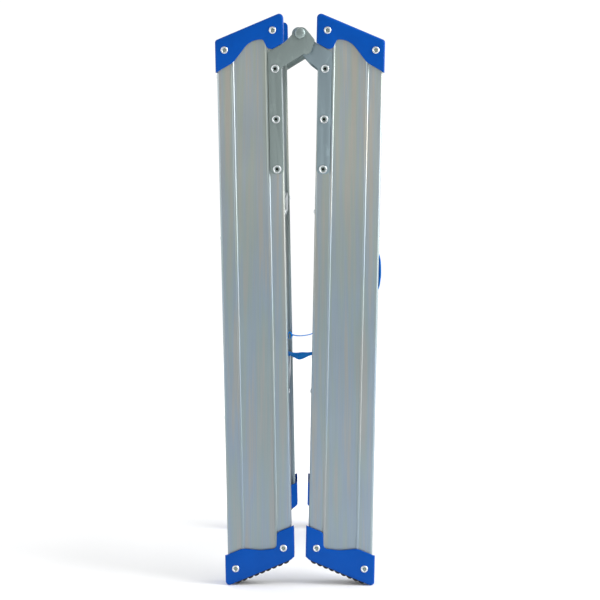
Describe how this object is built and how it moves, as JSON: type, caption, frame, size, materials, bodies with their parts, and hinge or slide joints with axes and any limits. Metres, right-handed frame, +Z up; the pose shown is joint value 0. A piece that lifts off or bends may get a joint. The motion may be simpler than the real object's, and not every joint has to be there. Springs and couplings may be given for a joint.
{
  "type": "double-sided folding step ladder",
  "caption": "Folded double-sided aluminium step ladder with channel rails, blue end caps, a top hinge and webbing spread straps.",
  "frame": {"origin": "on the floor, under the middle of the folded ladder", "axes": "+Z up the ladder, +X the way the right half opens, Y across the ladder's width"},
  "size_m": [0.249, 0.4156, 0.8495],
  "materials": {
    "rail_aluminium": "brushed extrusion",
    "tread_aluminium": "ribbed extrusion",
    "blue_plastic": "satin moulded",
    "sole_rubber": "matte",
    "zinc_steel": "zinc plated",
    "rivet_aluminium": "bright",
    "blue_webbing": "woven"
  },
  "bodies": {
    "left_half": {"foot_cap_left_far": "blue_plastic", "foot_cap_left_near": "blue_plastic", "hinge_pin_far": "zinc_steel", "hinge_pin_near": "zinc_steel", "hinge_plate_left_far": "zinc_steel", "hinge_plate_left_near": "zinc_steel", "hinge_washer_far": "zinc_steel", "hinge_washer_near": "zinc_steel", "plate_rivet_left_far_1": "rivet_aluminium", "plate_rivet_left_far_2": "rivet_aluminium", "plate_rivet_left_far_3": "rivet_aluminium", "plate_rivet_left_near_1": "rivet_aluminium", "plate_rivet_left_near_2": "rivet_aluminium", "plate_rivet_left_near_3": "rivet_aluminium", "rail_left_far": "rail_aluminium", "rail_left_near": "rail_aluminium", "sole_left_far": "sole_rubber", "sole_left_near": "sole_rubber", "strap_bracket_left_far": "zinc_steel", "strap_bracket_left_near": "zinc_steel", "top_cap_left_far": "blue_plastic", "top_cap_left_near": "blue_plastic", "tread_left_lower": "tread_aluminium", "tread_left_middle": "tread_aluminium", "tread_left_top": "tread_aluminium"},
    "right_half": {"foot_cap_right_far": "blue_plastic", "foot_cap_right_near": "blue_plastic", "hinge_plate_right_far": "zinc_steel", "hinge_plate_right_near": "zinc_steel", "plate_rivet_right_far_1": "rivet_aluminium", "plate_rivet_right_far_2": "rivet_aluminium", "plate_rivet_right_far_3": "rivet_aluminium", "plate_rivet_right_near_1": "rivet_aluminium", "plate_rivet_right_near_2": "rivet_aluminium", "plate_rivet_right_near_3": "rivet_aluminium", "rail_right_far": "rail_aluminium", "rail_right_near": "rail_aluminium", "sole_right_far": "sole_rubber", "sole_right_near": "sole_rubber", "strap_bracket_right_far": "zinc_steel", "strap_bracket_right_near": "zinc_steel", "top_cap_right_far": "blue_plastic", "top_cap_right_near": "blue_plastic", "tread_right_lower": "tread_aluminium", "tread_right_middle": "tread_aluminium", "tread_right_top": "tread_aluminium"},
    "strap_link_1": {"strap_far_1": "blue_webbing", "strap_near_1": "blue_webbing"},
    "strap_link_2": {"strap_far_2": "blue_webbing", "strap_near_2": "blue_webbing"},
    "strap_link_3": {"strap_far_3": "blue_webbing", "strap_near_3": "blue_webbing"},
    "strap_link_4": {"strap_far_4": "blue_webbing", "strap_near_4": "blue_webbing"},
    "strap_link_5": {"strap_far_5": "blue_webbing", "strap_near_5": "blue_webbing"},
    "strap_link_6": {"strap_far_6": "blue_webbing", "strap_near_6": "blue_webbing"}
  },
  "joints": [
    {"name": "leg_fold", "type": "hinge", "parent": "left_half", "child": "right_half", "pos_m": [0, 0, 0.82087], "axis": [0, -1, 0], "range_deg": [0, 45.6], "deforming": ["strap_near_6", "strap_far_6"]},
    {"name": "strap_bend_1", "type": "hinge", "parent": "left_half", "child": "strap_link_1", "pos_m": [-0.0188, 0, 0.34642], "axis": [0, -1, 0], "range_deg": [-1.5, 32.6]},
    {"name": "strap_bend_2", "type": "hinge", "parent": "strap_link_1", "child": "strap_link_2", "pos_m": [0.038, 0, 0.33937], "axis": [0, -1, 0], "range_deg": [-64, 1.5]},
    {"name": "strap_bend_3", "type": "hinge", "parent": "strap_link_2", "child": "strap_link_3", "pos_m": [0.08, 0, 0.40037], "axis": [0, -1, 0], "range_deg": [-1.8, 1.5]},
    {"name": "strap_bend_6", "type": "hinge", "parent": "right_half", "child": "strap_link_6", "pos_m": [0.01897, 0, 0.35542], "axis": [0, -1, 0], "range_deg": [-1.5, 107.1]},
    {"name": "strap_bend_5", "type": "hinge", "parent": "strap_link_6", "child": "strap_link_5", "pos_m": [0.069, 0, 0.42137], "axis": [0, -1, 0], "range_deg": [-1.5, 1.7]},
    {"name": "strap_bend_4", "type": "hinge", "parent": "strap_link_5", "child": "strap_link_4", "pos_m": [0.1195, 0, 0.48737], "axis": [0, -1, 0], "range_deg": [-1.5, 144.1]}
  ],
  "couplings": [
    {"joint": "strap_bend_1", "follows": "leg_fold", "ratio": 0.68154},
    {"joint": "strap_bend_2", "follows": "leg_fold", "ratio": -1.3713},
    {"joint": "strap_bend_3", "follows": "leg_fold", "ratio": -0.00641},
    {"joint": "strap_bend_6", "follows": "leg_fold", "ratio": 2.3155},
    {"joint": "strap_bend_5", "follows": "leg_fold", "ratio": 0.00518},
    {"joint": "strap_bend_4", "follows": "leg_fold", "ratio": 3.1267}
  ]
}
